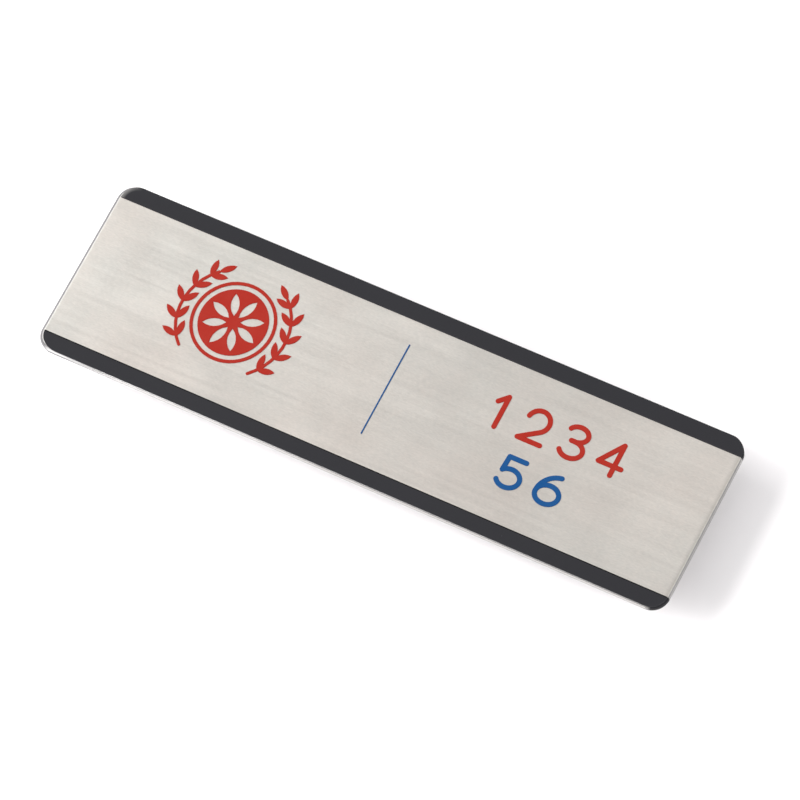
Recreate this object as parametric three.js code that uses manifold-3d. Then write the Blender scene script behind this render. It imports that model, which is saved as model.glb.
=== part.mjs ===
// A slim name badge: a silver base plate that carries a brushed face plate between two black bands,
// printed with a round emblem, a divider and plain numerals, with a magnet clasp behind.
// Sizes are in millimetres. +X runs along the badge as it reads, +Y up its face and +Z out of the face.
// The origin is the middle of the clasp's back, which the badge rests on.
import * as THREE from 'three';
import { mergeVertices } from 'three/addons/utils/BufferGeometryUtils.js';
import loadManifold from 'manifold-3d';

const wasm = await loadManifold();
wasm.setup();

// Magnet clasp
const CLASP_LENGTH = 45;
const CLASP_HEIGHT = 13;
const CLASP_THICKNESS = 4.5;
const CLASP_CORNER_RADIUS = 2;
const CLASP_EDGE_RADIUS = 0.5;

// Base plate
const PLATE_LENGTH = 75;
const PLATE_HEIGHT = 21;
const PLATE_THICKNESS = 0.8;
const PLATE_CORNER_RADIUS = 2;
const PLATE_EDGE_RADIUS = 0.15;

// Face plate and bands, which lie side by side on the base plate
const LAYER_THICKNESS = 0.2;
const LAYER_EDGE_BEVEL = 0.05;
const BAND_WIDTH = 1.85;
const SEAM_WIDTH = 0.03;

// How far the face plate and bands stop short of each edge of the base plate
const RIM_LEFT = 0.5;
const RIM_RIGHT = 0.05;
const RIM_TOP = 0.05;
const RIM_BOTTOM = 0.1;

// Films of glue between the layers
const CLASP_GLUE = 0.03;
const LAYER_GLUE = 0.03;

// Ink
const INK_THICKNESS = 0.05;
const INK_GAP = 0.01;

// Emblem: a ring round a disc pierced by petals, between two leafy sprigs
const EMBLEM_INSET = 18.8;
const EMBLEM_RISE = 0.4;
const RING_RADIUS = 4.75;
const RING_LINE = 0.38;
const DISC_CLEARANCE = 0.5;
const PETAL_COUNT = 8;
const PETAL_ROOT = 0.75;
const PETAL_TIP_MARGIN = 0.5;
const PETAL_WIDTH = 0.95;
const SPRIG_CLEARANCE = 1.5;
const SPRIG_LINE = 0.34;
const SPRIG_HALF_ANGLE = 48;
const LEAF_ROWS = 5;
const LEAF_LENGTH = 2;
const LEAF_WIDTH = 0.72;
const LEAF_SPREAD = 38;

// Divider between the emblem and the numerals
const DIVIDER_SHIFT = -0.18;
const DIVIDER_RISE = 0.2;
const DIVIDER_WIDTH = 0.14;
const DIVIDER_HEIGHT = 11.2;

// Numerals in two rows
const NUMERAL_INSET = 18.9;
const NUMERAL_STROKE = 0.55;
const NUMERAL_WIDTH = 3.2;
const NUMERAL_PITCH = 4.5;
const ROWS = [
  { digits: '1234', capHeight: 4.2, baseline: 0.8, ink: 'red' },
  { digits: '56', capHeight: 3.9, baseline: -4.9, ink: 'blue' },
];

// Corners of joined shapes lie on a fine grid, so that ends that meet share them
const GRID = 0.0005;

// How finely round shapes are divided
const ARC_STEP = THREE.MathUtils.degToRad(9);
const CIRCLE_STEPS = 48;
const CORNER_STEPS = 12;
const EDGE_STEPS = 3;
const END_STEPS = 8;
const LEAF_STEPS = 6;

const COLOURS = {
  aluminium: { color: 0xd8d5d0, metalness: 1, roughness: 0.3 },
  steel: { color: 0xcfc8be, metalness: 1, roughness: 0.38 },
  black: { color: 0x2c2c2f, metalness: 0, roughness: 0.55 },
  red: { color: 0xb33c2e, metalness: 0, roughness: 0.5 },
  blue: { color: 0x2a5c96, metalness: 0, roughness: 0.5 },
  nickel: { color: 0xb9b9bb, metalness: 1, roughness: 0.35 },
};

// Heights of the layers, from the clasp's back upwards
const plateZ = CLASP_THICKNESS + CLASP_GLUE;
const layerZ = plateZ + PLATE_THICKNESS + LAYER_GLUE;
const inkZ = layerZ + LAYER_THICKNESS + INK_GAP;

// The outline that the face plate and the bands fill together, about its own middle
const layerLength = PLATE_LENGTH - RIM_LEFT - RIM_RIGHT;
const layerHeight = PLATE_HEIGHT - RIM_TOP - RIM_BOTTOM;
const layerCornerRadius = PLATE_CORNER_RADIUS - RIM_RIGHT - RIM_TOP;
const layerX = (RIM_LEFT - RIM_RIGHT) / 2;
const layerY = (RIM_BOTTOM - RIM_TOP) / 2;
const bandEdge = layerHeight / 2 - BAND_WIDTH;
const faceEdge = bandEdge - SEAM_WIDTH;

function makeMesh(name, geometry, colour) {
  const mesh = new THREE.Mesh(geometry, new THREE.MeshStandardMaterial(COLOURS[colour]));
  mesh.name = name;
  return mesh;
}

function polar(radius, angle) {
  return new THREE.Vector2(radius * Math.cos(angle), radius * Math.sin(angle));
}

function circlePoints(radius) {
  return Array.from({ length: CIRCLE_STEPS }, (_, i) => polar(radius, (2 * Math.PI * i) / CIRCLE_STEPS));
}

function roundedRectPoints(length, height, radius) {
  const corners = [[1, 1], [-1, 1], [-1, -1], [1, -1]];
  return corners.flatMap(([sideX, sideY], quarter) => {
    const centre = new THREE.Vector2(sideX * (length / 2 - radius), sideY * (height / 2 - radius));
    return Array.from({ length: CORNER_STEPS + 1 }, (_, i) =>
      polar(radius, (Math.PI / 2) * (quarter + i / CORNER_STEPS)).add(centre));
  });
}

// A flat bar standing on z = 0, with round corners and round front and back edges
function roundedBar(length, height, thickness, cornerRadius, edgeRadius, edgeSteps) {
  const outline = new THREE.Shape(roundedRectPoints(length, height, cornerRadius));
  const bar = new THREE.ExtrudeGeometry(outline, {
    depth: thickness - 2 * edgeRadius,
    bevelThickness: edgeRadius,
    bevelSize: edgeRadius,
    bevelOffset: -edgeRadius,
    bevelSegments: edgeSteps,
  });
  return bar.translate(0, 0, edgeRadius);
}

function extrude(shape, thickness) {
  return new THREE.ExtrudeGeometry(shape, { depth: thickness, bevelEnabled: false });
}

function toSolid(geometry) {
  const bare = geometry.clone();
  bare.deleteAttribute('normal');
  bare.deleteAttribute('uv');
  const merged = mergeVertices(bare);
  return new wasm.Manifold(new wasm.Mesh({
    numProp: 3,
    vertProperties: merged.attributes.position.array.map((value) => Math.round(value / GRID) * GRID),
    triVerts: new Uint32Array(merged.index.array),
  }));
}

function toGeometry(solid) {
  const mesh = solid.getMesh();
  const geometry = new THREE.BufferGeometry();
  geometry.setAttribute('position', new THREE.BufferAttribute(mesh.vertProperties, 3));
  geometry.setIndex(new THREE.BufferAttribute(mesh.triVerts, 1));
  geometry.computeVertexNormals();
  return geometry;
}

function join(geometries) {
  return toGeometry(geometries.map(toSolid).reduce((whole, piece) => whole.add(piece)));
}

// The part of the layer between two heights up the face
function layerStrip(lowY, highY) {
  const layer = roundedBar(layerLength, layerHeight, LAYER_THICKNESS, layerCornerRadius, LAYER_EDGE_BEVEL, 1);
  const block = new THREE.BoxGeometry(PLATE_LENGTH, highY - lowY, 3 * LAYER_THICKNESS);
  block.translate(0, (lowY + highY) / 2, LAYER_THICKNESS / 2);
  return toGeometry(toSolid(layer).intersect(toSolid(block)));
}

// Points and headings along smooth curves that follow on from one another
function sampleCurves(curves) {
  return curves.flatMap((curve, index) => {
    const turn = curve.isEllipseCurve ? Math.abs(curve.aEndAngle - curve.aStartAngle) : 0;
    const steps = Math.max(1, Math.ceil(turn / ARC_STEP));
    const samples = Array.from({ length: steps + 1 }, (_, i) => ({
      point: curve.getPoint(i / steps),
      heading: curve.getTangent(i / steps).angle(),
    }));
    return index === 0 ? samples : samples.slice(1);
  });
}

// Outline of a pen stroke of even width with round ends
function strokePoints(curves, width) {
  const samples = sampleCurves(curves);
  const beside = ({ point, heading }, turn) => polar(width / 2, heading + turn).add(point);
  const roundEnd = ({ point, heading }) => Array.from({ length: END_STEPS - 1 }, (_, i) =>
    beside({ point, heading }, Math.PI / 2 - (Math.PI * (i + 1)) / END_STEPS));
  const first = samples[0];
  const last = samples[samples.length - 1];
  return [
    ...samples.map((sample) => beside(sample, Math.PI / 2)),
    ...roundEnd(last),
    ...samples.map((sample) => beside(sample, -Math.PI / 2)).reverse(),
    ...roundEnd({ point: first.point, heading: first.heading + Math.PI }),
  ];
}

function arc(centre, radiusX, radiusY, startDegrees, endDegrees) {
  const [start, end] = [startDegrees, endDegrees].map(THREE.MathUtils.degToRad);
  return new THREE.EllipseCurve(centre.x, centre.y, radiusX, radiusY, start, end, end < start);
}

function line(start, end) {
  return new THREE.LineCurve(start, end);
}

// Outline of a pointed leaf with arched sides
function leafPoints(base, heading, length, width) {
  const sideRadius = (length * length + width * width) / (4 * width);
  const halfWidthAt = (along) =>
    Math.sqrt(sideRadius ** 2 - (along - length / 2) ** 2) - sideRadius + width / 2;
  const edge = (step, side) => {
    const along = (length * step) / LEAF_STEPS;
    const across = step % LEAF_STEPS === 0 ? 0 : side * halfWidthAt(along);
    return new THREE.Vector2(along, across).rotateAround(new THREE.Vector2(), heading).add(base);
  };
  const there = Array.from({ length: LEAF_STEPS + 1 }, (_, step) => edge(step, -1));
  const back = Array.from({ length: LEAF_STEPS - 1 }, (_, i) => edge(LEAF_STEPS - 1 - i, 1));
  return [...there, ...back];
}

function emblemRing() {
  const shape = new THREE.Shape(circlePoints(RING_RADIUS));
  shape.holes.push(new THREE.Path(circlePoints(RING_RADIUS - RING_LINE)));
  return extrude(shape, INK_THICKNESS);
}

function emblemDisc() {
  const radius = RING_RADIUS - RING_LINE - DISC_CLEARANCE;
  const petalLength = radius - PETAL_TIP_MARGIN - PETAL_ROOT;
  const shape = new THREE.Shape(circlePoints(radius));
  for (let i = 0; i < PETAL_COUNT; i += 1) {
    const heading = (2 * Math.PI * (i + 0.5)) / PETAL_COUNT;
    const petal = leafPoints(polar(PETAL_ROOT, heading), heading, petalLength, PETAL_WIDTH);
    shape.holes.push(new THREE.Path(petal));
  }
  return extrude(shape, INK_THICKNESS);
}

// A stem that curves up beside the ring, with pairs of leaves and one at its tip; side is 1 right, -1 left
function emblemSprig(side) {
  const stemRadius = RING_RADIUS + SPRIG_CLEARANCE;
  const stem = arc(new THREE.Vector2(), stemRadius, stemRadius, -SPRIG_HALF_ANGLE, SPRIG_HALF_ANGLE);
  const outlines = [strokePoints([stem], SPRIG_LINE)];
  const spread = THREE.MathUtils.degToRad(LEAF_SPREAD);
  for (let i = 0; i < LEAF_ROWS; i += 1) {
    const angle = THREE.MathUtils.degToRad(SPRIG_HALF_ANGLE * ((2 * (i + 0.5)) / LEAF_ROWS - 1));
    for (const turn of [-spread, spread]) {
      outlines.push(leafPoints(polar(stemRadius, angle), angle + Math.PI / 2 + turn, LEAF_LENGTH, LEAF_WIDTH));
    }
  }
  const tip = THREE.MathUtils.degToRad(SPRIG_HALF_ANGLE);
  outlines.push(leafPoints(polar(stemRadius, tip), tip + Math.PI / 2, LEAF_LENGTH, LEAF_WIDTH));
  const mirrored = outlines.map((points) => points.map(({ x, y }) => new THREE.Vector2(side * x, y)));
  return join(mirrored.map((points) => extrude(new THREE.Shape(points), INK_THICKNESS)));
}

// Strokes of each numeral: its pen line fills a box of the given width and height that stands on y = 0,
// centred on x = 0. Shares of the box place the turns and crossings.
const NUMERALS = {
  1: (width, height) => {
    const top = new THREE.Vector2(0.16 * width, height);
    return [
      [line(new THREE.Vector2(top.x, 0), top)],
      [line(top, new THREE.Vector2(-0.18 * width, 0.76 * height))],
    ];
  },
  2: (width, height) => {
    const radius = 0.47 * width;
    const centre = new THREE.Vector2(0, height - radius);
    const foot = new THREE.Vector2(-width / 2, 0);
    const toFoot = foot.clone().sub(centre);
    const touch = toFoot.angle() + Math.acos(radius / toFoot.length()) - 2 * Math.PI;
    const touchDegrees = THREE.MathUtils.radToDeg(touch);
    return [
      [arc(centre, radius, radius, 168, touchDegrees), line(polar(radius, touch).add(centre), foot)],
      [line(foot, new THREE.Vector2(width / 2, 0))],
    ];
  },
  3: (width, height) => {
    const upper = 0.235 * height;
    const lower = height / 2 - upper;
    const waist = new THREE.Vector2(0, 2 * lower);
    return [
      [
        arc(new THREE.Vector2(0, height - upper), 0.43 * width, upper, 155, -90),
        line(waist, new THREE.Vector2(-0.15 * width, waist.y)),
      ],
      [arc(new THREE.Vector2(0, lower), 0.49 * width, lower, 90, -155)],
    ];
  },
  4: (width, height) => {
    const stem = 0.2 * width;
    const bar = 0.29 * height;
    const elbow = new THREE.Vector2(-width / 2, bar);
    return [
      [line(new THREE.Vector2(stem, 0), new THREE.Vector2(stem, height))],
      [line(new THREE.Vector2(stem, height), elbow)],
      [line(elbow, new THREE.Vector2(width / 2, bar))],
    ];
  },
  5: (width, height) => {
    const bowl = arc(new THREE.Vector2(-0.02 * width, 0.315 * height), 0.49 * width, 0.315 * height, 140, -150);
    const shoulder = new THREE.Vector2(-0.36 * width, height);
    return [
      [bowl],
      [line(bowl.getPoint(0), shoulder)],
      [line(shoulder, new THREE.Vector2(0.38 * width, height))],
    ];
  },
  6: (width, height) => {
    const rise = 0.315 * height;
    const reach = 0.88 * width;
    return [
      [arc(new THREE.Vector2(0, rise), width / 2, rise, 180, 0)],
      [arc(new THREE.Vector2(0, rise), width / 2, rise, 0, -180)],
      [arc(new THREE.Vector2(reach - width / 2, rise), reach, height - rise, 180, 98)],
    ];
  },
};

function numeral(digit, capHeight) {
  const strokes = NUMERALS[digit](NUMERAL_WIDTH - NUMERAL_STROKE, capHeight - NUMERAL_STROKE);
  const solids = strokes.map((curves) =>
    extrude(new THREE.Shape(strokePoints(curves, NUMERAL_STROKE)), INK_THICKNESS));
  return join(solids).translate(0, NUMERAL_STROKE / 2, 0);
}

function buildEmblem() {
  const emblem = new THREE.Group();
  emblem.position.set(-PLATE_LENGTH / 2 + EMBLEM_INSET, EMBLEM_RISE, 0);
  emblem.add(
    makeMesh('emblem_ring', emblemRing(), 'red'),
    makeMesh('emblem_disc', emblemDisc(), 'red'),
    makeMesh('emblem_sprig_left', emblemSprig(-1), 'red'),
    makeMesh('emblem_sprig_right', emblemSprig(1), 'red'),
  );
  return emblem;
}

function buildDivider() {
  const geometry = new THREE.BoxGeometry(DIVIDER_WIDTH, DIVIDER_HEIGHT, INK_THICKNESS);
  const divider = makeMesh('divider_line', geometry, 'blue');
  divider.position.set(DIVIDER_SHIFT, DIVIDER_RISE, INK_THICKNESS / 2);
  return divider;
}

function buildNumerals() {
  const numerals = new THREE.Group();
  numerals.position.x = PLATE_LENGTH / 2 - NUMERAL_INSET;
  for (const { digits, capHeight, baseline, ink } of ROWS) {
    [...digits].forEach((digit, i) => {
      const mesh = makeMesh(`numeral_${digit}`, numeral(digit, capHeight), ink);
      mesh.position.set(NUMERAL_PITCH * (i - (digits.length - 1) / 2), baseline, 0);
      numerals.add(mesh);
    });
  }
  return numerals;
}

function buildClasp() {
  const geometry = roundedBar(
    CLASP_LENGTH, CLASP_HEIGHT, CLASP_THICKNESS, CLASP_CORNER_RADIUS, CLASP_EDGE_RADIUS, EDGE_STEPS);
  return makeMesh('magnet_clasp', geometry, 'nickel');
}

function buildBasePlate() {
  const geometry = roundedBar(
    PLATE_LENGTH, PLATE_HEIGHT, PLATE_THICKNESS, PLATE_CORNER_RADIUS, PLATE_EDGE_RADIUS, EDGE_STEPS);
  const plate = makeMesh('base_plate', geometry, 'aluminium');
  plate.position.z = plateZ;
  return plate;
}

function buildLayer() {
  const layer = new THREE.Group();
  layer.position.set(layerX, layerY, layerZ);
  layer.add(
    makeMesh('face_plate', layerStrip(-faceEdge, faceEdge), 'steel'),
    makeMesh('top_band', layerStrip(bandEdge, PLATE_HEIGHT / 2), 'black'),
    makeMesh('bottom_band', layerStrip(-PLATE_HEIGHT / 2, -bandEdge), 'black'),
  );
  return layer;
}

function buildPrint() {
  const print = new THREE.Group();
  print.position.z = inkZ;
  print.add(buildEmblem(), buildDivider(), buildNumerals());
  return print;
}

const badge = new THREE.Group();
badge.name = 'name_badge';
badge.add(buildClasp(), buildBasePlate(), buildLayer(), buildPrint());

export default badge;
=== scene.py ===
"""Looks of a slim name badge: silver base plate, brushed face between two black bands, ink and magnet clasp.

Everything is in metres in the badge's own frame: +X runs along the badge as it reads, +Y up its face and +Z
out of the face. The origin is the middle of the clasp's back, which rests on the floor.

In the finishes, lengths are in millimetres, and a range whose name ends in _x, _y or _z runs from the place
where something starts to the place where it is complete.
"""
from __future__ import annotations

import logging
import math
from abc import ABC, abstractmethod
from collections.abc import Mapping
from dataclasses import dataclass, field
from enum import Enum
from typing import Any, ClassVar, NamedTuple

import bmesh
import bpy
from mathutils import Matrix, Vector

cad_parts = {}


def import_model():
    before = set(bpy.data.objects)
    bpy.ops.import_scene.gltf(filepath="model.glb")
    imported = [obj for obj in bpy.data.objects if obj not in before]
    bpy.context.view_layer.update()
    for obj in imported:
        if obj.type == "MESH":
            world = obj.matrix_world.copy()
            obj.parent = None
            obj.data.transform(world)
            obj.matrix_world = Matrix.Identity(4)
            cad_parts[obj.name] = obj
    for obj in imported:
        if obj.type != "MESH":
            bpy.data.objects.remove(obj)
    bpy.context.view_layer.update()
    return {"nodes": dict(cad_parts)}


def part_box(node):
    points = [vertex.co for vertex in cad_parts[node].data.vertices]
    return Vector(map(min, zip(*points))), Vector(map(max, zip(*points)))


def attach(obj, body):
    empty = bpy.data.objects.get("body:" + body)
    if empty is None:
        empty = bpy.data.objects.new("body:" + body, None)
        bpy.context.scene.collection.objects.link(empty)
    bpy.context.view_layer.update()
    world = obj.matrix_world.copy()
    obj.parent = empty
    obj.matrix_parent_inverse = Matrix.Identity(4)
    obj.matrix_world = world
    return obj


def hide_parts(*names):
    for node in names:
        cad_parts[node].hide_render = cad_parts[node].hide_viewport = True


LOG = logging.getLogger("badge")
MM = 0.001
BODY = "root"
EDGE_ATTRIBUTE = "edge"
FACE_UV = "face_uv"

Colour = tuple[float, float, float, float]
Triple = tuple[float, float, float]
Point = tuple[float, float]
Range = tuple[float, float]
NodeSocket = bpy.types.NodeSocket


class Slot(Enum):
    """The material slots."""

    CLASP = "clasp_nickel"
    RIM = "rim_aluminium"
    FACE = "brushed_face"
    BAND = "black_band"
    RED = "red_ink"
    BLUE = "blue_ink"


class Side(Enum):
    """Which long edge of the badge a band runs along."""

    TOP = 1
    BOTTOM = -1


class Graph:
    """Adds nodes to one node tree, sets their sockets and links them."""

    MIX_FACTOR: ClassVar[int] = 0
    MIX_A: ClassVar[int] = 6
    MIX_B: ClassVar[int] = 7
    MIX_RESULT: ClassVar[int] = 2
    NOISE_MIDDLE: ClassVar[float] = 0.5
    ZERO: ClassVar[Triple] = (0.0, 0.0, 0.0)
    FLAT: ClassVar[Triple] = (1.0, 1.0, 0.0)

    def __init__(self, tree: bpy.types.NodeTree) -> None:
        """Takes the tree that the nodes go into."""
        self.tree = tree

    def feed(self, socket: NodeSocket, value: Any) -> None:
        """Links a socket to another, or sets its value.

        Args:
            socket: The input to fill.
            value: An output socket to link from, or a plain value.
        """
        if isinstance(value, NodeSocket):
            self.tree.links.new(value, socket)
        else:
            socket.default_value = value

    def feed_all(self, node: bpy.types.Node, inputs: Mapping[str | int, Any]) -> None:
        """Feeds several inputs of a node, by name or index."""
        for key, value in inputs.items():
            self.feed(node.inputs[key], value)

    def node(
        self,
        kind: str,
        inputs: Mapping[str | int, Any] | None = None,
        **settings: Any,
    ) -> bpy.types.Node:
        """Adds one node.

        Args:
            kind: The node's type name.
            inputs: Values or sockets for its inputs, by name or index.
            **settings: Properties of the node itself.

        Returns:
            The new node.
        """
        node = self.tree.nodes.new(kind)
        for name, value in settings.items():
            setattr(node, name, value)
        self.feed_all(node, inputs or {})
        return node

    def maths(self, operation: str, first: Any, second: Any = 0.0, clamp: bool = False) -> NodeSocket:
        """Adds a Math node and returns its value."""
        inputs = {0: first, 1: second}
        return self.node("ShaderNodeMath", inputs, operation=operation, use_clamp=clamp).outputs[0]

    def vector(self, operation: str, first: Any, second: Any = ZERO) -> NodeSocket:
        """Adds a Vector Math node and returns its vector."""
        return self.node("ShaderNodeVectorMath", {0: first, 1: second}, operation=operation).outputs[0]

    def scale(self, vector: Any, factor: Any) -> NodeSocket:
        """Multiplies a vector or colour by a factor."""
        return self.node("ShaderNodeVectorMath", {0: vector, "Scale": factor}, operation="SCALE").outputs[0]

    def flat_length(self, vector: NodeSocket) -> NodeSocket:
        """Returns how long a vector is when its height is left out."""
        flat = self.vector("MULTIPLY", vector, self.FLAT)
        return self.node("ShaderNodeVectorMath", {0: flat}, operation="LENGTH").outputs["Value"]

    def axes(self, vector: NodeSocket) -> bpy.types.NodeOutputs:
        """Returns the X, Y and Z of a vector, by name."""
        return self.node("ShaderNodeSeparateXYZ", {0: vector}).outputs

    def place_mm(self) -> NodeSocket:
        """Returns the point on the badge in millimetres."""
        return self.scale(self.node("ShaderNodeTexCoord").outputs["Object"], 1 / MM)

    def remap(self, value: Any, source: tuple[Any, Any], target: Range) -> NodeSocket:
        """Maps a value from one range to another, held at both ends.

        Args:
            value: The value to map.
            source: Its two ends.
            target: What those ends become.

        Returns:
            The mapped value.
        """
        inputs = {0: value, 1: source[0], 2: source[1], 3: target[0], 4: target[1]}
        return self.node("ShaderNodeMapRange", inputs).outputs[0]

    def ramp(self, value: Any, source: Range) -> NodeSocket:
        """Returns a mask that rises from 0 at a range's first end to 1 at its second."""
        return self.remap(value, source, (0.0, 1.0))

    def inverse(self, mask: Any) -> NodeSocket:
        """Returns what a mask leaves out."""
        return self.maths("SUBTRACT", 1.0, mask)

    def larger(self, first: Any, second: Any) -> NodeSocket:
        """Returns the larger of two values."""
        return self.maths("MAXIMUM", first, second)

    def product(self, first: Any, *others: Any) -> NodeSocket:
        """Multiplies values together."""
        total = first
        for other in others:
            total = self.maths("MULTIPLY", total, other)
        return total

    def blend(self, base: Any, *parts: tuple[Any, float]) -> NodeSocket:
        """Adds weighted values to a base.

        Args:
            base: What they are added to.
            *parts: Each value with its weight.

        Returns:
            The sum.
        """
        total = base
        for value, weight in parts:
            total = self.maths("ADD", total, self.maths("MULTIPLY", value, weight))
        return total

    def mix(self, share: Any, first: Any, second: Any) -> NodeSocket:
        """Mixes two colours.

        Args:
            share: How much of the second is in the result.
            first: The first colour.
            second: The second colour.

        Returns:
            The mixed colour.
        """
        inputs = {self.MIX_FACTOR: share, self.MIX_A: first, self.MIX_B: second}
        return self.node("ShaderNodeMix", inputs, data_type="RGBA").outputs[self.MIX_RESULT]

    def noise(self, place: NodeSocket, detail: float, scale: Any = 1.0) -> NodeSocket:
        """Adds noise at a place and returns its value."""
        inputs = {"Vector": place, "Scale": scale, "Detail": detail}
        return self.node("ShaderNodeTexNoise", inputs).outputs[0]

    def even_noise(self, place: NodeSocket, detail: float, gain: float) -> NodeSocket:
        """Adds noise round zero.

        Args:
            place: Where the noise is read.
            detail: How many finer layers it has.
            gain: How far it is spread.

        Returns:
            The noise, from about -1 to 1.
        """
        centred = self.maths("SUBTRACT", self.noise(place, detail), self.NOISE_MIDDLE)
        return self.maths("MULTIPLY", centred, gain)


@dataclass(frozen=True)
class Socket:
    """One named input or output of an effect."""

    name: str
    default: float = 0.0


class Effect(ABC):
    """A shader node group that several finishes share, with one output."""

    name: ClassVar[str]
    inputs: ClassVar[tuple[Socket, ...]]
    output: ClassVar[Socket]

    @abstractmethod
    def wire(self, graph: Graph, given: Mapping[str, NodeSocket]) -> NodeSocket:
        """Builds the inside of the group.

        Args:
            graph: The group's own graph.
            given: The group's inputs by name.

        Returns:
            The socket for its output.
        """

    def tree(self) -> bpy.types.NodeTree:
        """Returns the node group, built the first time that it is asked for."""
        known = bpy.data.node_groups.get(self.name)
        if known:
            return known
        tree = bpy.data.node_groups.new(self.name, "ShaderNodeTree")
        for socket in self.inputs:
            made = tree.interface.new_socket(socket.name, in_out="INPUT", socket_type="NodeSocketFloat")
            made.default_value = socket.default
        tree.interface.new_socket(self.output.name, in_out="OUTPUT", socket_type="NodeSocketFloat")
        graph = Graph(tree)
        entry = graph.node("NodeGroupInput")
        result = self.wire(graph, {socket.name: entry.outputs[socket.name] for socket in self.inputs})
        graph.node("NodeGroupOutput", {self.output.name: result})
        return tree

    def put(self, graph: Graph, values: Mapping[str, float]) -> NodeSocket:
        """Places the group in a material.

        Args:
            graph: The material's graph.
            values: The group's inputs by name.

        Returns:
            The socket of its output.
        """
        node = graph.tree.nodes.new("ShaderNodeGroup")
        node.node_tree = self.tree()
        graph.feed_all(node, values)
        return node.outputs[self.output.name]


class BrushLines(Effect):
    """Fine lines along the badge, as a brushing belt leaves them: values from about -1 to 1."""

    name = "brush_lines"
    inputs = (Socket("line width", 0.15), Socket("line length", 10.0), Socket("lift"))
    output = Socket("lines")
    DETAIL: ClassVar[float] = 3.0
    GAIN: ClassVar[float] = 4.0

    def wire(self, graph: Graph, given: Mapping[str, NodeSocket]) -> NodeSocket:
        """Stretches noise along X, with the width and length in millimetres."""
        place = graph.axes(graph.place_mm())
        along = graph.maths("DIVIDE", place["X"], given["line length"])
        across = graph.maths("DIVIDE", place["Y"], given["line width"])
        depth = graph.maths("DIVIDE", place["Z"], given["line width"])
        lifted = graph.maths("ADD", depth, given["lift"])
        stretched = graph.node("ShaderNodeCombineXYZ", {0: along, 1: across, 2: lifted}).outputs[0]
        return graph.even_noise(stretched, self.DETAIL, self.GAIN)


class Clouds(Effect):
    """Soft patches of tone: values from about -1 to 1."""

    name = "clouds"
    inputs = (Socket("patch size", 8.0), Socket("lift"))
    output = Socket("clouds")
    DETAIL: ClassVar[float] = 4.0
    GAIN: ClassVar[float] = 4.0

    def wire(self, graph: Graph, given: Mapping[str, NodeSocket]) -> NodeSocket:
        """Takes noise with the patch size in millimetres."""
        per_mm = graph.maths("DIVIDE", 1.0, given["patch size"])
        lift = graph.node("ShaderNodeCombineXYZ", {2: given["lift"]}).outputs[0]
        place = graph.vector("ADD", graph.scale(graph.place_mm(), per_mm), lift)
        return graph.even_noise(place, self.DETAIL, self.GAIN)


class Specks(Effect):
    """Tiny scattered specks of dust or pits: a mask from 0 to 1."""

    name = "specks"
    inputs = (Socket("spacing", 1.0), Socket("speck size", 0.05), Socket("share", 0.3))
    output = Socket("specks")
    CORE: ClassVar[float] = 0.5

    def wire(self, graph: Graph, given: Mapping[str, NodeSocket]) -> NodeSocket:
        """Keeps a share of scattered points, each a dot of the speck size in millimetres."""
        per_mm = graph.maths("DIVIDE", 1.0, given["spacing"])
        cells = graph.node("ShaderNodeTexVoronoi", {"Vector": graph.place_mm(), "Scale": per_mm}).outputs
        reach = graph.maths("DIVIDE", given["speck size"], given["spacing"])
        core = graph.maths("MULTIPLY", reach, self.CORE)
        dot = graph.remap(cells["Distance"], (core, reach), (1.0, 0.0))
        chance = graph.node("ShaderNodeSeparateColor", {0: cells["Color"]}).outputs[0]
        kept = graph.maths("LESS_THAN", chance, given["share"])
        return graph.maths("MULTIPLY", dot, kept)


class EdgeWear(Effect):
    """Where an edge is rubbed bare: a broken mask from 0 to 1 along the rounded edges."""

    name = "edge_wear"
    inputs = (Socket("amount", 0.5), Socket("break up", 0.6))
    output = Socket("wear")
    DETAIL: ClassVar[float] = 3.0
    BREAKS: ClassVar[Range] = (0.35, 0.65)

    def wire(self, graph: Graph, given: Mapping[str, NodeSocket]) -> NodeSocket:
        """Breaks the mesh's own edge mask up with noise of the given size in millimetres."""
        edge = graph.node("ShaderNodeAttribute", attribute_name=EDGE_ATTRIBUTE).outputs["Fac"]
        per_mm = graph.maths("DIVIDE", 1.0, given["break up"])
        broken = graph.ramp(graph.noise(graph.place_mm(), self.DETAIL, per_mm), self.BREAKS)
        worn = graph.maths("MULTIPLY", edge, broken)
        return graph.maths("MULTIPLY", worn, given["amount"], clamp=True)


@dataclass(frozen=True)
class LineLayer:
    """Brushed lines of one width and length, with the layer's own place in the noise."""

    width: float
    length: float
    lift: float = 0.0

    def put(self, graph: Graph) -> NodeSocket:
        """Places the lines in a material."""
        values = {"line width": self.width, "line length": self.length, "lift": self.lift}
        return BrushLines().put(graph, values)


@dataclass(frozen=True)
class CloudLayer:
    """Soft patches of one size, with the layer's own place in the noise."""

    size: float
    lift: float = 0.0

    def put(self, graph: Graph) -> NodeSocket:
        """Places the patches in a material."""
        return Clouds().put(graph, {"patch size": self.size, "lift": self.lift})


@dataclass(frozen=True)
class SpeckLayer:
    """Specks of one size, with how far apart they may lie and the share that is there."""

    spacing: float
    size: float
    share: float

    def put(self, graph: Graph) -> NodeSocket:
        """Places the specks in a material."""
        return Specks().put(graph, {"spacing": self.spacing, "speck size": self.size, "share": self.share})


@dataclass(frozen=True)
class WearLayer:
    """Rubbed edges, with how much is worn and the size of the breaks."""

    amount: float
    break_up: float

    def put(self, graph: Graph) -> NodeSocket:
        """Places the wear in a material."""
        return EdgeWear().put(graph, {"amount": self.amount, "break up": self.break_up})


@dataclass(frozen=True)
class Relief:
    """How far a finish's bumps stand out and how strongly they turn the surface."""

    depth: float
    strength: float

    def put(self, graph: Graph, height: NodeSocket) -> NodeSocket:
        """Turns heights into a normal."""
        inputs = {"Height": height, "Distance": self.depth * MM, "Strength": self.strength}
        return graph.node("ShaderNodeBump", inputs).outputs[0]


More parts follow.
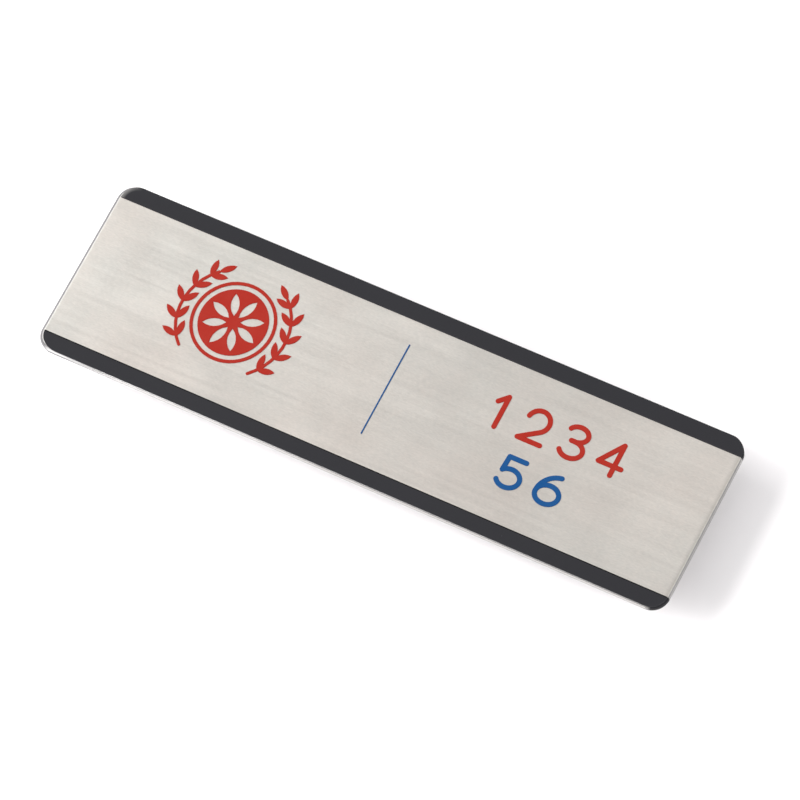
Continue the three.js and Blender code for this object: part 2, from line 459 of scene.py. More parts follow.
@dataclass(frozen=True)
class Finish(ABC):
    """A material: its subclasses hold their colours and wire their own shader."""

    slot: Slot

    @abstractmethod
    def wire(self, graph: Graph, shader: bpy.types.Node) -> None:
        """Feeds the shader.

        Args:
            graph: The material's graph.
            shader: Its Principled BSDF.
        """

    def material(self) -> bpy.types.Material:
        """Returns the material, built the first time that it is asked for."""
        known = bpy.data.materials.get(self.slot.value)
        if known and known.get("dressed"):
            return known
        if known:
            known.name = self.slot.value + "_plain"
        made = bpy.data.materials.new(self.slot.value)
        made["dressed"] = True
        made.use_nodes = True
        made.node_tree.nodes.clear()
        graph = Graph(made.node_tree)
        shader = graph.node("ShaderNodeBsdfPrincipled")
        graph.node("ShaderNodeOutputMaterial", {"Surface": shader.outputs[0]})
        self.wire(graph, shader)
        return made


@dataclass(frozen=True)
class BrushedSteel(Finish):
    """The face: warm brushed steel with long lines, faint clouds, streaks beside the bands and painted shade
    and highlights.
    """

    slot: Slot = Slot.FACE
    colour: Colour = (0.69, 0.647, 0.61, 1.0)
    warm: Colour = (0.72, 0.645, 0.575, 1.0)
    cool: Colour = (0.65, 0.662, 0.61, 1.0)
    tint_share: float = 0.38
    tint: CloudLayer = CloudLayer(13.0, 5.0)
    tint_spread: Range = (-0.8, 0.8)
    fine: LineLayer = LineLayer(0.15, 0.42)
    fine_tone: float = 0.06
    long: LineLayer = LineLayer(0.3, 9.0, 7.0)
    long_tone: float = 0.018
    long_roughness: float = 0.03
    long_height: float = 0.6
    streaks: LineLayer = LineLayer(0.8, 30.0, 13.0)
    streak_tone: float = 0.022
    streak_y: Range = (4.5, 8.3)
    streak_least: float = 0.25
    grains: CloudLayer = CloudLayer(0.6, 3.0)
    grain_tone: float = 0.02
    grain_tint: float = 0.25
    clouds: CloudLayer = CloudLayer(5.0)
    cloud_tone: float = 0.018
    cloud_roughness: float = 0.02
    # Painted highlight, not wear: a broken brighter line along the face's long edges beside the bands, put
    # in the colour.
    rubbed: WearLayer = WearLayer(0.15, 3.0)
    painted_edge_highlight_tone: float = 1.0
    painted_edge_highlight_y: Range = (8.4, 8.5)
    # Painted shade and light: darker towards the -X end, through the middle, at the +X end and towards the
    # lower edge; lighter towards +X.
    left_shade: float = 0.94
    left_x: Range = (5.0, -37.0)
    middle_shade: float = 0.955
    middle_x: Range = (-3.0, 10.0)
    right_shade: float = 1.05
    right_x: Range = (19.0, 31.0)
    end_shade: float = 0.845
    end_x: Range = (36.95, 37.4)
    low_shade: float = 0.965
    low_y: Range = (0.0, -8.0)
    roughness: float = 0.33
    anisotropy: float = 0.6
    anisotropic_turn: float = 0.25
    relief: Relief = Relief(0.004, 0.5)

    def shade(self, graph: Graph, place: bpy.types.NodeOutputs) -> NodeSocket:
        """Works out the painted shade and light on each part of the face.

        Args:
            graph: The material's graph.
            place: The point on the badge, by axis.

        Returns:
            The factor for its colour: painted shade below 1, painted light above 1.
        """
        into_middle = graph.remap(place["X"], self.middle_x, (1.0, self.middle_shade))
        out_of_middle = graph.remap(place["X"], self.right_x, (self.middle_shade, self.right_shade))
        end = graph.remap(place["X"], self.end_x, (1.0, self.end_shade))
        left = graph.remap(place["X"], self.left_x, (1.0, self.left_shade))
        low = graph.remap(place["Y"], self.low_y, (1.0, self.low_shade))
        return graph.product(graph.larger(into_middle, out_of_middle), end, left, low)

    def wire(self, graph: Graph, shader: bpy.types.Node) -> None:
        """Mixes the line layers and clouds into tone, roughness and bump, with painted shade, light and an
        edge highlight in the colour.
        """
        fine = self.fine.put(graph)
        long = self.long.put(graph)
        grains = self.grains.put(graph)
        clouds = self.clouds.put(graph)
        place = graph.axes(graph.place_mm())
        off_middle = graph.maths("ABSOLUTE", place["Y"])
        beside_bands = graph.remap(off_middle, self.streak_y, (self.streak_least, 1.0))
        tone = graph.blend(
            1.0,
            (fine, self.fine_tone),
            (long, self.long_tone),
            (graph.product(self.streaks.put(graph), beside_bands), self.streak_tone),
            # Painted highlight along the long edges beside the bands.
            (graph.product(self.rubbed.put(graph), graph.ramp(off_middle, self.painted_edge_highlight_y)), self.painted_edge_highlight_tone),
            (grains, self.grain_tone),
            (clouds, self.cloud_tone),
        )
        warmth = graph.ramp(graph.blend(self.tint.put(graph), (grains, self.grain_tint)), self.tint_spread)
        base = graph.mix(self.tint_share, self.colour, graph.mix(warmth, self.cool, self.warm))
        rough = graph.blend(self.roughness, (long, self.long_roughness), (clouds, self.cloud_roughness))
        height = graph.blend(fine, (long, self.long_height))
        tangent = graph.node("ShaderNodeTangent", direction_type="UV_MAP", uv_map=FACE_UV)
        graph.feed_all(shader, {
            # The colour carries the painted shade and light.
            "Base Color": graph.scale(base, graph.product(tone, self.shade(graph, place))),
            "Metallic": 1.0,
            "Roughness": rough,
            "Anisotropic": self.anisotropy,
            "Anisotropic Rotation": self.anisotropic_turn,
            "Tangent": tangent.outputs[0],
            "Normal": self.relief.put(graph, height),
        })


@dataclass(frozen=True)
class BlackLacquer(Finish):
    """The bands: matt black lacquer with a very fine grain, a little rubbing and a painted sheen on one
    outer corner.
    """

    slot: Slot = Slot.BAND
    colour: Colour = (0.0178, 0.0176, 0.0205, 1.0)
    rubbed: Colour = (0.07, 0.07, 0.075, 1.0)
    # Painted sheen: the grey given to the outer rounding of the corner at -X, +Y, in place of a lamp's
    # reflection.
    paler: Colour = (0.19, 0.185, 0.18, 1.0)
    painted_sheen_centre: Triple = (-35.15, 8.6, 0.0)
    painted_sheen_x: Range = (-35.2, -36.6)
    painted_sheen_reach: Range = (1.35, 1.9)
    clouds: CloudLayer = CloudLayer(11.0, 2.0)
    cloud_tone: float = 0.05
    cloud_roughness: float = 0.02
    grain: CloudLayer = CloudLayer(0.16, 9.0)
    grain_tone: float = 0.03
    grain_roughness: float = 0.02
    specks: SpeckLayer = SpeckLayer(2.3, 0.06, 0.25)
    speck_mark: float = 0.35
    wear: WearLayer = WearLayer(0.6, 0.8)
    roughness: float = 0.6
    specular: float = 0.12
    relief: Relief = Relief(0.003, 0.4)

    def painted_corner_sheen(self, graph: Graph) -> NodeSocket:
        """Works out where the painted sheen lies: the outer rounding of the corner at -X, +Y.

        Args:
            graph: The material's graph.

        Returns:
            A mask from 0 to 1.
        """
        place = graph.place_mm()
        reach = graph.flat_length(graph.vector("SUBTRACT", place, self.painted_sheen_centre))
        axes = graph.axes(place)
        upper = graph.maths("GREATER_THAN", axes["Y"], self.painted_sheen_centre[1])
        return graph.product(graph.ramp(reach, self.painted_sheen_reach), graph.ramp(axes["X"], self.painted_sheen_x), upper)

    def wire(self, graph: Graph, shader: bpy.types.Node) -> None:
        """Mixes clouds, grain and wear into tone, roughness and bump, and paints a sheen on one outer
        corner.
        """
        clouds = self.clouds.put(graph)
        grain = self.grain.put(graph)
        tone = graph.blend(1.0, (clouds, self.cloud_tone), (grain, self.grain_tone))
        marked = graph.larger(self.wear.put(graph), graph.product(self.specks.put(graph), self.speck_mark))
        covered = graph.mix(marked, graph.scale(self.colour[:3], tone), self.rubbed)
        rough = graph.blend(self.roughness, (clouds, self.cloud_roughness), (grain, self.grain_roughness))
        graph.feed_all(shader, {
            # Painted sheen on the outer corner at -X, +Y.
            "Base Color": graph.mix(self.painted_corner_sheen(graph), covered, self.paler),
            "Roughness": rough,
            "Specular IOR Level": self.specular,
            "Normal": self.relief.put(graph, grain),
        })


class RimMasks(NamedTuple):
    """Masks from 0 to 1 that tell the parts of the base plate's surface apart.

    Attributes:
        back: The flat back.
        top: The flat front.
        rolled: The rounded front edge of the walls, except at the left end and on the lower side, painted
            darker as shade.
        painted_foot_shade: The lowest part of the walls, painted darker as shade.
        lacquered: The end beside the bands at +X, where their lacquer runs over the edge.
        line: The narrow dark line round the end at -X, painted shade.
        matt: The walls of that end.
    """

    back: NodeSocket
    top: NodeSocket
    rolled: NodeSocket
    painted_foot_shade: NodeSocket
    lacquered: NodeSocket
    line: NodeSocket
    matt: NodeSocket


@dataclass(frozen=True)
class SilverRim(Finish):
    """The base plate: polished edges, a satin back, lacquered right corners, painted light and shade and a
    painted dark left edge.

    A field that ends in _facing is a range of the surface normal along an axis.
    """

    slot: Slot = Slot.RIM
    colour: Colour = (0.48, 0.466, 0.452, 1.0)
    # Painted reflection: the walls and back grow towards this brighter colour at the -X end.
    painted_reflection: Colour = (0.6, 0.589, 0.578, 1.0)
    painted_reflection_x: Range = (-2.0, -20.0)
    # Painted highlight: the flat front takes this brighter colour.
    top: Colour = (0.7, 0.685, 0.67, 1.0)
    # Painted shade: the rounded front edge takes this darker colour, except at the -X end and on the lower
    # side.
    rolled: Colour = (0.34, 0.334, 0.328, 1.0)
    # Painted shade: the lowest part of the walls takes this darker colour.
    painted_foot_shade: Colour = (0.22, 0.217, 0.215, 1.0)
    foot_z: Range = (4.86, 4.73)
    lacquer: Colour = (0.018, 0.018, 0.0205, 1.0)
    lacquer_x: Range = (35.6, 36.3)
    lacquer_y: Range = (8.5, 8.6)
    # Painted shade: the narrow dark line round the -X end takes this grey.
    line: Colour = (0.2, 0.195, 0.2, 1.0)
    line_inset: Range = (0.36, 0.31)
    line_x: Range = (-35.4, -36.2)
    line_foot_z: Range = (5.08, 5.0)
    matt: Colour = (0.6, 0.595, 0.59, 1.0)
    matt_x: Range = (-27.0, -34.0)
    corner_centre: Triple = (35.5, 8.5, 0.0)
    corner_radius: float = 2.0
    back_facing: Range = (-0.9, -0.99)
    top_facing: Range = (0.93, 0.99)
    rounded_facing: Range = (0.05, 0.3)
    upper_facing: Range = (-0.6, -0.2)
    end_facing: Range = (0.2, 0.8)
    # Painted shade: surfaces that face +X are darkened by this factor.
    right_facing_painted_shade: float = 0.92
    lines: LineLayer = LineLayer(0.14, 9.0, 3.0)
    line_tone: float = 0.03
    clouds: CloudLayer = CloudLayer(9.0, 4.0)
    cloud_tone: float = 0.015
    cloud_roughness: float = 0.02
    wear: WearLayer = WearLayer(0.5, 1.2)
    wear_roughness: float = 0.12
    specks: SpeckLayer = SpeckLayer(3.1, 0.07, 0.3)
    speck_roughness: float = 0.2
    edge_roughness: float = 0.16
    back_roughness: float = 0.34
    top_roughness: float = 0.3
    rolled_roughness: float = 0.6
    covered_roughness: float = 0.6
    specular: float = 0.1
    relief: Relief = Relief(0.002, 0.4)

    def outline(self, graph: Graph) -> NodeSocket:
        """Works out where a point lies close to the plate's outline.

        Args:
            graph: The material's graph.

        Returns:
            A mask from 0 to 1, told from the distance to the middles of the round corners.
        """
        past = graph.vector("SUBTRACT", graph.vector("ABSOLUTE", graph.place_mm()), self.corner_centre)
        reach = graph.flat_length(graph.vector("MAXIMUM", past, graph.ZERO))
        return graph.ramp(graph.maths("SUBTRACT", self.corner_radius, reach), self.line_inset)

    def masks(
        self,
        graph: Graph,
        place: bpy.types.NodeOutputs,
        normal: bpy.types.NodeOutputs,
    ) -> RimMasks:
        """Tells the parts of the surface apart.

        Args:
            graph: The material's graph.
            place: The point on the badge, by axis.
            normal: The direction that the surface faces, by axis.

        Returns:
            The masks.
        """
        back = graph.ramp(normal["Z"], self.back_facing)
        top = graph.ramp(normal["Z"], self.top_facing)
        rounded = graph.ramp(normal["Z"], self.rounded_facing)
        upper = graph.ramp(normal["Y"], self.upper_facing)
        left = graph.ramp(place["X"], self.matt_x)
        off_back = graph.inverse(back)
        beside_bands = graph.ramp(graph.maths("ABSOLUTE", place["Y"]), self.lacquer_y)
        foot_line = graph.product(graph.ramp(place["Z"], self.line_foot_z), left, off_back)
        edge_line = graph.product(self.outline(graph), rounded, graph.ramp(place["X"], self.line_x))
        return RimMasks(
            back=back,
            top=top,
            rolled=graph.product(rounded, upper, graph.inverse(graph.larger(top, left))),
            painted_foot_shade=graph.product(graph.ramp(place["Z"], self.foot_z), off_back),
            lacquered=graph.product(graph.ramp(place["X"], self.lacquer_x), beside_bands),
            line=graph.larger(edge_line, foot_line),
            matt=graph.product(left, graph.inverse(graph.larger(top, back))),
        )

    def bare_metal(self, graph: Graph, masks: RimMasks, place: bpy.types.NodeOutputs) -> NodeSocket:
        """Mixes the colour of the bare metal, with painted light and shade by place and facing.

        Args:
            graph: The material's graph.
            masks: The parts of the surface.
            place: The point on the badge, by axis.

        Returns:
            The colour.
        """
        # Painted reflection on the walls towards -X, painted shade on the wall feet and rounded front edge,
        # painted highlight on the flat front.
        side = graph.mix(graph.ramp(place["X"], self.painted_reflection_x), self.colour, self.painted_reflection)
        wall = graph.mix(masks.rolled, graph.mix(masks.painted_foot_shade, side, self.painted_foot_shade), self.rolled)
        return graph.mix(masks.top, wall, self.top)

    def wire(self, graph: Graph, shader: bpy.types.Node) -> None:
        """Finishes the metal, and covers the lacquered and matt parts and the painted dark line."""
        place = graph.axes(graph.place_mm())
        normal = graph.axes(graph.node("ShaderNodeTexCoord").outputs["Normal"])
        masks = self.masks(graph, place, normal)
        lines = self.lines.put(graph)
        clouds = self.clouds.put(graph)
        uneven = graph.blend(1.0, (lines, self.line_tone), (clouds, self.cloud_tone))
        # Painted shade on the surfaces that face +X.
        tone = graph.product(uneven, graph.remap(normal["X"], self.end_facing, (1.0, self.right_facing_painted_shade)))
        metal = graph.scale(self.bare_metal(graph, masks, place), tone)
        # The painted dark line covers the metal, with the matt walls and the lacquer.
        cover = graph.mix(masks.line, graph.mix(masks.matt, self.lacquer, self.matt), self.line)
        covered = graph.larger(masks.lacquered, graph.larger(masks.line, masks.matt))
        metal_rough = graph.blend(
            self.edge_roughness,
            (masks.back, self.back_roughness - self.edge_roughness),
            (masks.top, self.top_roughness - self.edge_roughness),
            (masks.rolled, self.rolled_roughness - self.edge_roughness),
            (clouds, self.cloud_roughness),
            (self.wear.put(graph), self.wear_roughness),
            (self.specks.put(graph), self.speck_roughness),
        )
        graph.feed_all(shader, {
            "Base Color": graph.mix(covered, metal, cover),
            "Metallic": graph.inverse(covered),
            "Roughness": graph.larger(metal_rough, graph.product(covered, self.covered_roughness)),
            "Specular IOR Level": self.specular,
            "Normal": self.relief.put(graph, lines),
        })


@dataclass(frozen=True)
class ScreenInk(Finish):
    """Screen ink: satin, a little uneven, with the brushed lines faintly through it."""

    colour: Colour
    paler: Colour
    thin_share: float = 0.25
    clouds: CloudLayer = CloudLayer(1.6, 6.0)
    cloud_thinning: float = 0.25
    cloud_roughness: float = 0.04
    grain: CloudLayer = CloudLayer(0.14, 11.0)
    grain_thinning: float = 0.08
    grain_roughness: float = 0.03
    lines: LineLayer = LineLayer(0.13, 4.0, 5.0)
    line_thinning: float = 0.12
    line_height: float = 0.7
    roughness: float = 0.5
    specular: float = 0.12
    relief: Relief = Relief(0.003, 0.5)

    def wire(self, graph: Graph, shader: bpy.types.Node) -> None:
        """Mixes clouds, grain and lines into tone, roughness and bump."""
        clouds = self.clouds.put(graph)
        grain = self.grain.put(graph)
        lines = self.lines.put(graph)
        thinned = graph.blend(
            self.thin_share,
            (clouds, self.cloud_thinning),
            (grain, self.grain_thinning),
            (lines, self.line_thinning),
        )
        rough = graph.blend(self.roughness, (clouds, self.cloud_roughness), (grain, self.grain_roughness))
        graph.feed_all(shader, {
            "Base Color": graph.mix(graph.ramp(thinned, (0.0, 1.0)), self.colour, self.paler),
            "Roughness": rough,
            "Specular IOR Level": self.specular,
            "Normal": self.relief.put(graph, graph.blend(grain, (lines, self.line_height))),
        })


@dataclass(frozen=True)
class Nickel(Finish):
    """The clasp: satin nickel with soft clouds, fine scuffs and rubbed edges."""

    slot: Slot = Slot.CLASP
    colour: Colour = (0.56, 0.55, 0.53, 1.0)
    rubbed: Colour = (0.72, 0.71, 0.68, 1.0)
    clouds: CloudLayer = CloudLayer(6.0, 8.0)
    cloud_tone: float = 0.04
    cloud_roughness: float = 0.04
    scuffs: LineLayer = LineLayer(0.22, 3.0, 1.0)
    scuff_tone: float = 0.03
    scuff_roughness: float = 0.04
    specks: SpeckLayer = SpeckLayer(1.9, 0.08, 0.35)
    speck_roughness: float = 0.2
    wear: WearLayer = WearLayer(0.8, 1.0)
    roughness: float = 0.3
    relief: Relief = Relief(0.003, 0.4)

    def wire(self, graph: Graph, shader: bpy.types.Node) -> None:
        """Mixes clouds, scuffs and wear into tone, roughness and bump."""
        clouds = self.clouds.put(graph)
        scuffs = self.scuffs.put(graph)
        tone = graph.blend(1.0, (clouds, self.cloud_tone), (scuffs, self.scuff_tone))
        rough = graph.blend(
            self.roughness,
            (clouds, self.cloud_roughness),
            (scuffs, self.scuff_roughness),
            (self.specks.put(graph), self.speck_roughness),
        )
        metal = graph.scale(self.colour[:3], tone)
        graph.feed_all(shader, {
            "Base Color": graph.mix(self.wear.put(graph), metal, self.rubbed),
            "Metallic": 1.0,
            "Roughness": rough,
            "Normal": self.relief.put(graph, scuffs),
        })


@dataclass(frozen=True)
class Paper:
    """The floor: plain pale paper, matt and with a faint tooth."""

    colour: Colour = (0.905, 0.885, 0.895, 1.0)
    tooth: CloudLayer = CloudLayer(0.6)
    roughness: float = 0.9
    specular: float = 0.1
    relief: Relief = Relief(0.01, 0.2)

    def material(self) -> bpy.types.Material:
        """Builds the floor's own material, which no slot names."""
        made = bpy.data.materials.new("floor_paper")
        made.use_nodes = True
        graph = Graph(made.node_tree)
        graph.feed_all(made.node_tree.nodes["Principled BSDF"], {
            "Base Color": self.colour,
            "Roughness": self.roughness,
            "Specular IOR Level": self.specular,
            "Normal": self.relief.put(graph, self.tooth.put(graph)),
        })
        return made


class Level(NamedTuple):
    """One ring of a panel: how far it lies inwards, its height and its edge mask."""

    inset: float
    height: float
    mask: float


@dataclass
class Panel:
    """A flat panel with four round corners and rounded front and back edges, all in metres.

    The corners run anticlockwise from the one at +X, +Y, each with its radius along X and along Y. The
    rounding runs right_stretch times as far in from the end at +X as it does from the other sides.
    """

    low: Vector
    high: Vector
    corners: tuple[Point, Point, Point, Point]
    edge_radius: float
    right_stretch: float = 1.0
    corner_steps: int = 14
    edge_steps: int = 5
    SIDES: ClassVar[tuple[Point, ...]] = ((1, 1), (-1, 1), (-1, -1), (1, -1))
    SHEAR: ClassVar[Point] = (1 / 2, 1 / 3)

    def ring(self, inset: float) -> list[Point]:
        """Returns the outline moved inwards.

        Args:
            inset: How far it moves in from the panel's full outline.

        Returns:
            The points of the outline, anticlockwise.
        """
        middle = (self.low + self.high) / 2
        half = (self.high - self.low) / 2
        right_inset = inset * (self.right_stretch - 1)
        points = []
        quarters = enumerate(zip(self.SIDES, self.corners))
        for quarter, ((side_x, side_y), (radius_x, radius_y)) in quarters:
            centre_x = middle.x + side_x * (half.x - radius_x) - right_inset * max(side_x, 0)
            centre_y = middle.y + side_y * (half.y - radius_y)
            for step in range(self.corner_steps + 1):
                angle = math.pi / 2 * (quarter + step / self.corner_steps)
                x = centre_x + (radius_x - inset) * math.cos(angle)
                y = centre_y + (radius_y - inset) * math.sin(angle)
                points.append((x, y))
        return points

    def levels(self) -> list[Level]:
        """Returns the panel's rings, from the back up."""
        back = []
        front = []
        for step in range(self.edge_steps + 1):
            angle = math.pi / 2 * step / self.edge_steps
            inset = self.edge_radius * (1 - math.sin(angle))
            rise = self.edge_radius * (1 - math.cos(angle))
            mask = math.sin(2 * angle)
            back.append(Level(inset, self.low.z + rise, mask))
            front.append(Level(inset, self.high.z - rise, mask))
        return back + front[::-1]

    def add_skin(self, shape: bmesh.types.BMesh) -> None:
        """Adds the rings, the walls between them and the two flat faces."""
        edge_layer = shape.verts.layers.float.new(EDGE_ATTRIBUTE)
        rings = []
        for level in self.levels():
            ring = [shape.verts.new((x, y, level.height)) for x, y in self.ring(level.inset)]
            for vertex in ring:
                vertex[edge_layer] = level.mask
            rings.append(ring)
        for lower, upper in zip(rings, rings[1:]):
            count = len(lower)
            for i in range(count):
                following = (i + 1) % count
                wall = shape.faces.new((lower[i], lower[following], upper[following], upper[i]))
                wall.smooth = True
        shape.faces.new(list(reversed(rings[0])))
        shape.faces.new(rings[-1])

    def lay_flat(self, shape: bmesh.types.BMesh) -> None:
        """Gives each corner flat coordinates in millimetres, sheared so that walls keep a direction."""
        layer = shape.loops.layers.uv.new(FACE_UV)
        shear_x, shear_y = self.SHEAR
        for face in shape.faces:
            for loop in face.loops:
                x, y, z = loop.vert.co
                loop[layer].uv = ((x + z * shear_x) / MM, (y + z * shear_y) / MM)

    def build(self, name: str) -> bpy.types.Object:
        """Builds the panel as a closed mesh with an edge mask and flat coordinates.

        Args:
            name: The piece's name.

        Returns:
            The new object, linked to the scene.
        """
        shape = bmesh.new()
        self.add_skin(shape)
        self.lay_flat(shape)
        mesh = bpy.data.meshes.new(name)
        shape.to_mesh(mesh)
        shape.free()
        piece = bpy.data.objects.new(name, mesh)
        bpy.context.scene.collection.objects.link(piece)
        return piece


def dress(piece: bpy.types.Object, material: bpy.types.Material) -> None:
    """Gives a piece its material in place of any that it has.

    Args:
        piece: The object to dress.
        material: Its material.
    """
    if piece.data.materials:
        for index in range(len(piece.data.materials)):
            piece.data.materials[index] = material
    else:
        piece.data.materials.append(material)


def stand_for(piece: bpy.types.Object, node: str, finish: Finish) -> None:
    """Dresses a fine piece and puts it in place of its plain node.

    Args:
        piece: The fine piece.
        node: The node that it replaces.
        finish: Its finish.
    """
    dress(piece, finish.material())
    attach(piece, BODY)
    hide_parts(node)
    LOG.info("%s replaces %s with %d faces", piece.name, node, len(piece.data.polygons))


@dataclass
class BasePlate:
    """The silver sheet that carries everything, with polished round edges."""

    node: str = "base_plate"
    corner: Point = (2.0 * MM, 2.0 * MM)
    edge_radius: float = 0.18 * MM
    shift_x: float = 0.08 * MM
    finish: Finish = field(default_factory=SilverRim)

    def build(self) -> bpy.types.Object:
        """Builds the plate in its node's box, a little to the right, and dresses it."""
        low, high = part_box(self.node)
        shift = Vector((self.shift_x, 0.0, 0.0))
        piece = Panel(low + shift, high + shift, (self.corner,) * 4, self.edge_radius).build("rim_plate")
        stand_for(piece, self.node, self.finish)
        return piece


@dataclass
class FaceLayer:
    """The brushed face and the two lacquered bands, side by side on the base plate."""

    face_node: str = "face_plate"
    band_nodes: Mapping[Side, str] = field(
        default_factory=lambda: {Side.TOP: "top_band", Side.BOTTOM: "bottom_band"})
    seam_drops: Mapping[Side, float] = field(
        default_factory=lambda: {Side.TOP: 0.05 * MM, Side.BOTTOM: 0.1 * MM})
    round_corner: Point = (1.81 * MM, 1.81 * MM)
    long_corner: Point = (2.3 * MM, 1.81 * MM)
    square_corner: Point = (0.04 * MM, 0.04 * MM)
    edge_radius: float = 0.04 * MM
    right_stretch: float = 5.0
    face_finish: Finish = field(default_factory=BrushedSteel)
    band_finish: Finish = field(default_factory=BlackLacquer)

    def seam_drop(self, side: Side) -> Vector:
        """Returns how far a seam lies below the edge of its node, as a vector to take away."""
        return Vector((0.0, self.seam_drops[side], 0.0))

    def build_face(self) -> bpy.types.Object:
        """Builds the brushed face, square at its corners."""
        low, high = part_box(self.face_node)
        low = low - self.seam_drop(Side.BOTTOM)
        high = high - self.seam_drop(Side.TOP)
        corners = (self.square_corner,) * 4
        piece = Panel(low, high, corners, self.edge_radius, self.right_stretch).build("face_sheet")
        stand_for(piece, self.face_node, self.face_finish)
        return piece

    def build_band(self, side: Side) -> bpy.types.Object:
        """Builds one band, round at its two outer corners.

        Args:
            side: The long edge that it runs along.

        Returns:
            The band.
        """
        low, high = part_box(self.band_nodes[side])
        if side is Side.TOP:
            low = low - self.seam_drop(side)
            corners = (self.round_corner, self.round_corner, self.square_corner, self.square_corner)
        else:
            high = high - self.seam_drop(side)
            corners = (self.square_corner, self.square_corner, self.long_corner, self.round_corner)
        piece = Panel(low, high, corners, self.edge_radius).build(f"{side.name.lower()}_lacquer")
        stand_for(piece, self.band_nodes[side], self.band_finish)
        return piece

    def build(self) -> list[bpy.types.Object]:
        """Builds the face and both bands."""
        return [self.build_face(), *(self.build_band(side) for side in Side)]


@dataclass
class Print:
    """The ink on the face: its own nodes, dressed."""

    red_nodes: tuple[str, ...] = (
        "emblem_ring", "emblem_disc", "emblem_sprig_left", "emblem_sprig_right",
        "numeral_1", "numeral_2", "numeral_3", "numeral_4",
    )
    blue_nodes: tuple[str, ...] = ("divider_line", "numeral_5", "numeral_6")
    red: Finish = field(default_factory=lambda: ScreenInk(
        slot=Slot.RED, colour=(0.262, 0.012, 0.006, 1.0), paler=(0.28, 0.024, 0.014, 1.0)))
    blue: Finish = field(default_factory=lambda: ScreenInk(
        slot=Slot.BLUE, colour=(0.002, 0.05, 0.165, 1.0), paler=(0.012, 0.064, 0.18, 1.0)))

    def build(self, nodes: Mapping[str, bpy.types.Object]) -> None:
        """Dresses every ink node.

        Args:
            nodes: The frame's nodes by name.
        """
        for finish, names in ((self.red, self.red_nodes), (self.blue, self.blue_nodes)):
            for name in names:
                dress(nodes[name], finish.material())
                LOG.info("%s dressed as %s", name, finish.slot.value)


@dataclass
class MagnetClasp:
    """The plain bar on the back that holds the badge to cloth."""

    node: str = "magnet_clasp"
    corner: Point = (2.0 * MM, 2.0 * MM)
    edge_radius: float = 0.5 * MM
    edge_steps: int = 8
    finish: Finish = field(default_factory=Nickel)

    def build(self) -> bpy.types.Object:
        """Builds the bar in its node's box and dresses it."""
        low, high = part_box(self.node)
        corners = (self.corner,) * 4
        piece = Panel(low, high, corners, self.edge_radius, edge_steps=self.edge_steps).build("clasp_bar")
        stand_for(piece, self.node, self.finish)
        return piece


@dataclass(frozen=True)
class Softbox:
    """A soft rectangular white light that looks at the badge, with its size in metres and power in watts."""

    name: str
    towards: Triple
    distance: float
    width: float
    height: float
    power: float

    def build(self) -> bpy.types.Object:
        """Hangs the light in its direction and turns it to the badge."""
        lamp = bpy.data.lights.new(self.name, "AREA")
        lamp.shape = "RECTANGLE"
        lamp.size = self.width
        lamp.size_y = self.height
        lamp.energy = self.power
        light = bpy.data.objects.new(self.name, lamp)
        away = Vector(self.towards).normalized()
        light.location = away * self.distance
        light.rotation_euler = away.to_track_quat("Z", "Y").to_euler()
        bpy.context.scene.collection.objects.link(light)
        return light


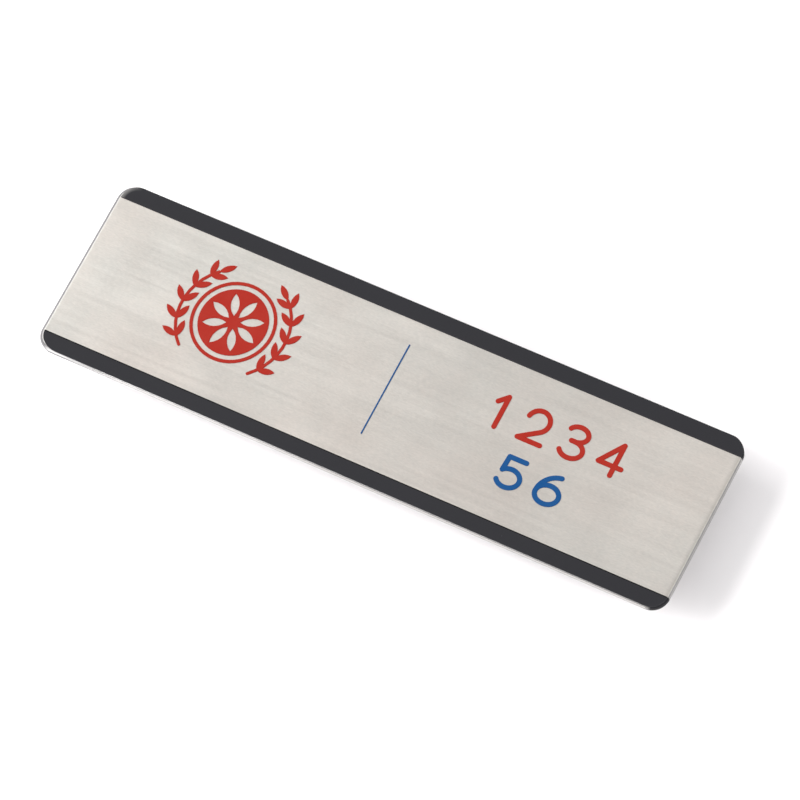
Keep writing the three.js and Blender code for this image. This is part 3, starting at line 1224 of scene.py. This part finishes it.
@dataclass
class Studio:
    """The pale floor, the soft light and the camera, with its angles in degrees."""

    floor_half: float = 2.0
    floor_cells: int = 8
    floor_drop: float = 0.02 * MM
    sky_colour: Colour = (1.0, 1.0, 1.0, 1.0)
    sky: float = 0.775
    horizon: float = 0.25
    horizon_heights: Range = (0.06, 0.26)
    softboxes: tuple[Softbox, ...] = (
        Softbox("front_key", (-0.68, -0.36, 0.6), distance=1.0, width=0.6, height=0.5, power=9.8),
        Softbox("high_key", (-0.72, 0.06, 0.69), distance=1.0, width=0.6, height=0.5, power=4.6),
        Softbox("end_fill", (0.8, -0.1, 0.42), distance=1.0, width=0.9, height=0.4, power=4.4),
    )
    aim: Triple = (1.808 * MM, -0.282 * MM, 5.56 * MM)
    camera_distance: float = 600.7 * MM
    camera_azimuth: float = 44.433
    camera_elevation: float = 64.814
    camera_roll: float = 18.553
    camera_clip: float = 0.02
    lens: float = 257.2
    sensor: float = 36.0

    def build_floor(self) -> bpy.types.Object:
        """Lays the pale floor just under the clasp."""
        shape = bmesh.new()
        cells = self.floor_cells
        bmesh.ops.create_grid(shape, x_segments=cells, y_segments=cells, size=self.floor_half)
        mesh = bpy.data.meshes.new("floor")
        shape.to_mesh(mesh)
        shape.free()
        floor = bpy.data.objects.new("floor", mesh)
        floor.location.z = -self.floor_drop
        bpy.context.scene.collection.objects.link(floor)
        dress(floor, Paper().material())
        return floor

    def build_sky(self) -> None:
        """Surrounds the badge with soft light, dimmer near the horizon."""
        world = bpy.data.worlds.new("studio")
        world.use_nodes = True
        bpy.context.scene.world = world
        graph = Graph(world.node_tree)
        height = graph.axes(graph.node("ShaderNodeTexCoord").outputs["Generated"])["Z"]
        graph.feed_all(world.node_tree.nodes["Background"], {
            "Color": self.sky_colour,
            "Strength": graph.remap(height, self.horizon_heights, (self.horizon, self.sky)),
        })

    def camera_frame(self) -> Matrix:
        """Works out where the camera stands and how it is turned."""
        azimuth = math.radians(self.camera_azimuth)
        elevation = math.radians(self.camera_elevation)
        roll = math.radians(self.camera_roll)
        away = Vector((
            math.sin(azimuth) * math.cos(elevation),
            -math.cos(azimuth) * math.cos(elevation),
            math.sin(elevation),
        ))
        level_right = (-away).cross(Vector((0, 0, 1))).normalized()
        level_down = (-away).cross(level_right)
        right = math.cos(roll) * level_right + math.sin(roll) * level_down
        down = math.cos(roll) * level_down - math.sin(roll) * level_right
        turned = Matrix((right, -down, away)).transposed().to_4x4()
        turned.translation = Vector(self.aim) + away * self.camera_distance
        return turned

    def build_camera(self) -> bpy.types.Object:
        """Sets up the camera at the photograph's angle."""
        lens = bpy.data.cameras.new("camera")
        lens.lens = self.lens
        lens.sensor_width = self.sensor
        lens.clip_start = self.camera_clip
        camera = bpy.data.objects.new("camera", lens)
        camera.matrix_world = self.camera_frame()
        bpy.context.scene.collection.objects.link(camera)
        bpy.context.scene.camera = camera
        return camera

    def build(self) -> None:
        """Builds the floor, sky, lights and camera."""
        bpy.context.scene.view_settings.view_transform = "Standard"
        self.build_floor()
        self.build_sky()
        for softbox in self.softboxes:
            softbox.build()
        self.build_camera()
        LOG.info("studio ready")


def main() -> None:
    """Builds the badge's looks round its solids."""
    logging.basicConfig(level=logging.INFO, format="%(name)s: %(message)s")
    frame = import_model()
    Studio().build()
    BasePlate().build()
    FaceLayer().build()
    Print().build(frame["nodes"])
    MagnetClasp().build()


if __name__ == "__main__":
    main()
